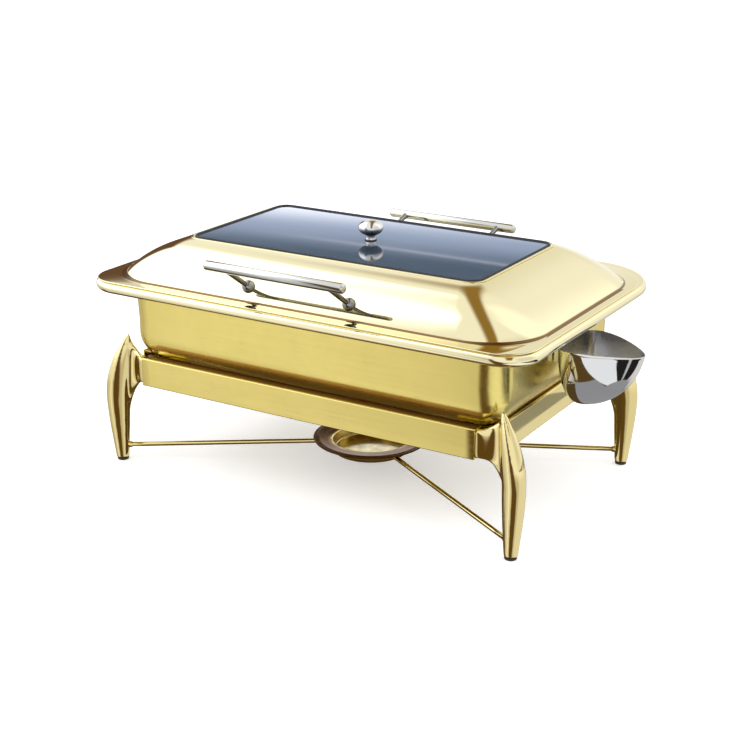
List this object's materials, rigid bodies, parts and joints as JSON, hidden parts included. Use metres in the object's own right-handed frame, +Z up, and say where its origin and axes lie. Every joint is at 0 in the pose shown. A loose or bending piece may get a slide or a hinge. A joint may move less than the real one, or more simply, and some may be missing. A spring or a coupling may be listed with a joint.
{
  "type": "roll top chafer",
  "caption": "Rectangular buffet chafing dish: hinged lid with window, knob and two handles, rolled-rim water pan with food pan, side spoon rest, and legged stand with burner tray.",
  "frame": {"origin": "on the table, midway between the four feet", "axes": "+Z up, +X along the long side towards the spoon rest, front handle at -Y, hinges at +Y"},
  "size_m": [0.672, 0.4439, 0.3222],
  "materials": {
    "gold_plate": "stainless steel with a mirror-polished pale gold coating",
    "chrome": "mirror polish",
    "bare_steel": "satin",
    "black_rubber": "matte",
    "smoked_glass": "smoked tempered glass, glossy"
  },
  "bodies": {
    "stand": {"leg_front_left": "gold_plate", "leg_front_right": "gold_plate", "leg_back_left": "gold_plate", "leg_back_right": "gold_plate", "foot_pads": "black_rubber", "rail_front": "gold_plate", "rail_back": "gold_plate", "rail_left": "gold_plate", "rail_right": "gold_plate", "rail_screws": "bare_steel", "pan_plate_front_left": "gold_plate", "pan_plate_front_right": "gold_plate", "pan_plate_back_left": "gold_plate", "pan_plate_back_right": "gold_plate", "plate_pads": "black_rubber", "brace_rod_front_left": "gold_plate", "brace_rod_front_right": "gold_plate", "brace_rod_back_left": "gold_plate", "brace_rod_back_right": "gold_plate", "burner_ring": "gold_plate"},
    "tray": {"burner_tray": "gold_plate"},
    "pan": {"water_pan": "gold_plate", "food_pan": "bare_steel", "spoon_rest": "chrome", "spoon_rest_plate": "chrome", "spoon_rest_rivets": "chrome", "hinge_base_left": "gold_plate", "hinge_base_right": "gold_plate", "hinge_pin_left": "chrome", "hinge_pin_right": "chrome", "hinge_rivets": "chrome"},
    "lid": {"lid_shell": "gold_plate", "window_trim": "gold_plate", "window_gasket": "black_rubber", "window_glass": "smoked_glass", "knob": "chrome", "knob_seal": "black_rubber", "knob_nut": "bare_steel", "hinge_leaf_left": "gold_plate", "hinge_leaf_right": "gold_plate", "front_handle_bar": "chrome", "front_handle_caps": "chrome", "front_handle_stems": "chrome", "front_handle_rosettes": "chrome", "front_handle_screws": "bare_steel", "back_handle_bar": "chrome", "back_handle_caps": "chrome", "back_handle_stems": "chrome", "back_handle_rosettes": "chrome", "back_handle_screws": "bare_steel"}
  },
  "joints": [
    {"name": "pan_lift", "type": "slide", "parent": "stand", "child": "pan", "axis": [0, 0, 1], "range_m": [0, 0.08]},
    {"name": "tray_lift", "type": "slide", "parent": "stand", "child": "tray", "axis": [0, 0, 1], "range_m": [0, 0.06]},
    {"name": "lid_hinge", "type": "hinge", "parent": "pan", "child": "lid", "pos_m": [0, 0.21, 0.2545], "axis": [-1, 0, 0], "range_deg": [0, 90]}
  ]
}
